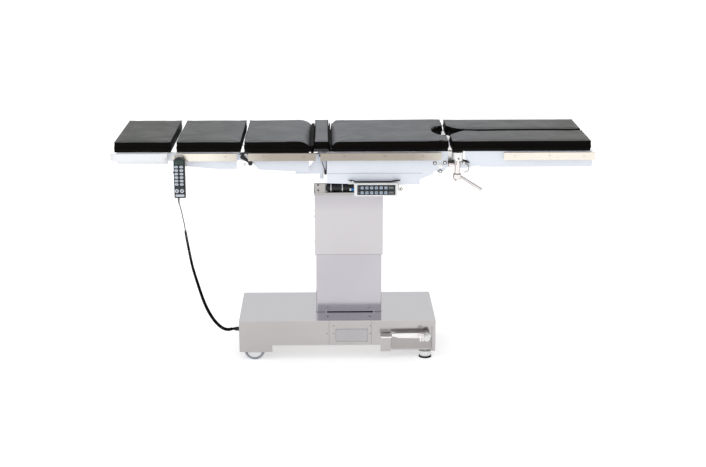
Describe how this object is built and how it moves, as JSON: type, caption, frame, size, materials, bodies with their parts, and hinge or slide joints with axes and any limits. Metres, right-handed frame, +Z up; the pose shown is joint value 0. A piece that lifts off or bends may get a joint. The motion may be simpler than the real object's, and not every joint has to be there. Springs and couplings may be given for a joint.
{
  "type": "operating table",
  "caption": "Mobile surgical table: lifting column with a two-axis tilting joint, sectioned padded top with side rails, split legs, wheeled base with floor locks, wired handset",
  "frame": {"origin": "on the floor, in the middle of the table's outline without its cord", "axes": "X along the top from the head section to the feet, Y across from the operator's side with the pedal, panel and handset to the far side, Z up from the floor"},
  "size_m": [2.0241, 0.5685, 0.9816],
  "materials": {
    "stainless": "satin",
    "cover": "satin",
    "rail": "satin",
    "chrome": "polished",
    "frame_steel": "satin",
    "upholstery": "satin",
    "cushion_board": "matte",
    "wheel_rubber": "matte",
    "cord_rubber": "satin",
    "black_plastic": "satin",
    "white_plastic": "satin",
    "keypad": "satin"
  },
  "bodies": {
    "base": {"base_cover": "stainless", "base_chassis": "frame_steel", "column_lower_cover": "stainless", "lift_cylinder": "frame_steel", "cord_inlet": "black_plastic", "cord_lead": "cord_rubber", "cord_curl": "cord_rubber"},
    "column": {"column_upper_cover": "stainless", "lift_rod": "chrome", "column_head": "stainless", "tilt_motor": "black_plastic"},
    "cradle": {"tilt_cradle": "frame_steel"},
    "seat": {"seat_frame": "frame_steel", "seat_cover_front": "cover", "seat_cover_back": "cover", "seat_board": "cushion_board", "seat_pad": "upholstery", "seat_rail_front": "rail", "seat_rail_back": "rail", "control_panel": "white_plastic", "control_keys": "keypad"},
    "bridge": {"bridge_lift": "frame_steel", "bridge_pad": "upholstery"},
    "lower_back": {"lower_back_frame": "cover", "lower_back_board": "cushion_board", "lower_back_pad": "upholstery", "lower_back_rail_front": "rail", "lower_back_rail_back": "rail"},
    "latch": {"latch_lever": "black_plastic"},
    "upper_back": {"upper_back_frame": "cover", "upper_back_board": "cushion_board", "upper_back_pad": "upholstery", "upper_back_rail_front": "rail", "upper_back_rail_back": "rail"},
    "head": {"head_frame": "cover", "head_board": "cushion_board", "head_pad": "upholstery"},
    "handset": {"handset": "black_plastic", "handset_keys": "keypad"},
    "brake_pedal": {"brake_pedal": "chrome"},
    "leg_joint_front": {"leg_bracket_front": "stainless"},
    "leg_front": {"leg_frame_front": "cover", "leg_board_front": "cushion_board", "leg_pad_front": "upholstery", "leg_rail_front": "rail"},
    "clamp_front": {"clamp_lever_front": "chrome"},
    "fixed_wheel_front": {"fixed_wheel_front": "wheel_rubber"},
    "caster_front": {"caster_fork_front": "frame_steel"},
    "caster_wheel_front": {"caster_wheel_front": "wheel_rubber"},
    "lock_foot_front": {"lock_foot_front": "wheel_rubber"},
    "leg_joint_back": {"leg_bracket_back": "stainless"},
    "leg_back": {"leg_frame_back": "cover", "leg_board_back": "cushion_board", "leg_pad_back": "upholstery", "leg_rail_back": "rail"},
    "clamp_back": {"clamp_lever_back": "chrome"},
    "fixed_wheel_back": {"fixed_wheel_back": "wheel_rubber"},
    "caster_back": {"caster_fork_back": "frame_steel"},
    "caster_wheel_back": {"caster_wheel_back": "wheel_rubber"},
    "lock_foot_back": {"lock_foot_back": "wheel_rubber"}
  },
  "joints": [
    {"name": "column_lift", "type": "slide", "parent": "base", "child": "column", "axis": [0, 0, 1], "range_m": [-0.24, 0], "deforming": ["cord_lead", "cord_curl"]},
    {"name": "lateral_tilt", "type": "hinge", "parent": "column", "child": "cradle", "pos_m": [-0.0165, 0.017, 0.7756], "axis": [1, 0, 0], "range_deg": [-15, 15]},
    {"name": "trendelenburg_tilt", "type": "hinge", "parent": "cradle", "child": "seat", "pos_m": [-0.0165, 0.017, 0.8356], "axis": [0, 1, 0], "range_deg": [-25, 25]},
    {"name": "bridge_lift", "type": "slide", "parent": "seat", "child": "bridge", "axis": [0, 0, 1], "range_m": [0, 0.1]},
    {"name": "back_hinge", "type": "hinge", "parent": "seat", "child": "lower_back", "pos_m": [-0.22807, 0.017, 0.9186], "axis": [0, -1, 0], "range_deg": [-70, 20]},
    {"name": "upper_back_hinge", "type": "hinge", "parent": "lower_back", "child": "upper_back", "pos_m": [-0.46257, 0.017, 0.9166], "axis": [0, 1, 0], "range_deg": [-40, 5]},
    {"name": "latch_turn", "type": "hinge", "parent": "lower_back", "child": "latch", "pos_m": [-0.46257, -0.2263, 0.9166], "axis": [0, 1, 0], "range_deg": [0, 35]},
    {"name": "head_hinge", "type": "hinge", "parent": "upper_back", "child": "head", "pos_m": [-0.74907, 0.017, 0.9166], "axis": [0, 1, 0], "range_deg": [-75, 12]},
    {"name": "handset_unhook", "type": "slide", "parent": "upper_back", "child": "handset", "axis": [0, 0, 1], "range_m": [0, 0.03]},
    {"name": "leg_fold_front", "type": "hinge", "parent": "seat", "child": "leg_joint_front", "pos_m": [0.366, -0.223, 0.8736], "axis": [0, 1, 0], "range_deg": [0, 90]},
    {"name": "leg_spread_front", "type": "hinge", "parent": "leg_joint_front", "child": "leg_front", "pos_m": [0.437, -0.223, 0.8985], "axis": [0, 0, -1], "range_deg": [0, 90]},
    {"name": "clamp_turn_front", "type": "hinge", "parent": "leg_joint_front", "child": "clamp_front", "pos_m": [0.437, -0.223, 0.8392], "axis": [0, 0, -1], "range_deg": [-45, 120]},
    {"name": "fixed_wheel_front_spin", "type": "hinge", "parent": "base", "child": "fixed_wheel_front", "pos_m": [-0.43, -0.1695, 0.045], "axis": [0, 1, 0], "continuous": true},
    {"name": "caster_front_swivel", "type": "hinge", "parent": "base", "child": "caster_front", "pos_m": [0.285, -0.058, 0.0375], "axis": [0, 0, 1], "continuous": true},
    {"name": "caster_wheel_front_spin", "type": "hinge", "parent": "caster_front", "child": "caster_wheel_front", "pos_m": [0.263, -0.058, 0.0375], "axis": [0, 1, 0], "continuous": true},
    {"name": "leg_fold_back", "type": "hinge", "parent": "seat", "child": "leg_joint_back", "pos_m": [0.366, 0.257, 0.8736], "axis": [0, 1, 0], "range_deg": [0, 90]},
    {"name": "leg_spread_back", "type": "hinge", "parent": "leg_joint_back", "child": "leg_back", "pos_m": [0.437, 0.257, 0.8985], "axis": [0, 0, 1], "range_deg": [0, 90]},
    {"name": "clamp_turn_back", "type": "hinge", "parent": "leg_joint_back", "child": "clamp_back", "pos_m": [0.437, 0.257, 0.8392], "axis": [0, 0, 1], "range_deg": [-45, 120]},
    {"name": "fixed_wheel_back_spin", "type": "hinge", "parent": "base", "child": "fixed_wheel_back", "pos_m": [-0.43, 0.2035, 0.045], "axis": [0, 1, 0], "continuous": true},
    {"name": "caster_back_swivel", "type": "hinge", "parent": "base", "child": "caster_back", "pos_m": [0.285, 0.092, 0.0375], "axis": [0, 0, 1], "continuous": true},
    {"name": "caster_wheel_back_spin", "type": "hinge", "parent": "caster_back", "child": "caster_wheel_back", "pos_m": [0.263, 0.092, 0.0375], "axis": [0, 1, 0], "continuous": true},
    {"name": "brake_pedal_turn", "type": "hinge", "parent": "base", "child": "brake_pedal", "pos_m": [0.318, -0.1969, 0.115], "axis": [0, 1, 0], "range_deg": [0, 12]},
    {"name": "lock_foot_front_rise", "type": "slide", "parent": "base", "child": "lock_foot_front", "axis": [0, 0, 1], "range_m": [0, 0.006]},
    {"name": "lock_foot_back_rise", "type": "slide", "parent": "base", "child": "lock_foot_back", "axis": [0, 0, 1], "range_m": [0, 0.006]}
  ],
  "couplings": [
    {"joint": "lock_foot_front_rise", "follows": "brake_pedal_turn", "m_per_rad": 0.0286},
    {"joint": "lock_foot_back_rise", "follows": "brake_pedal_turn", "m_per_rad": 0.0286}
  ]
}
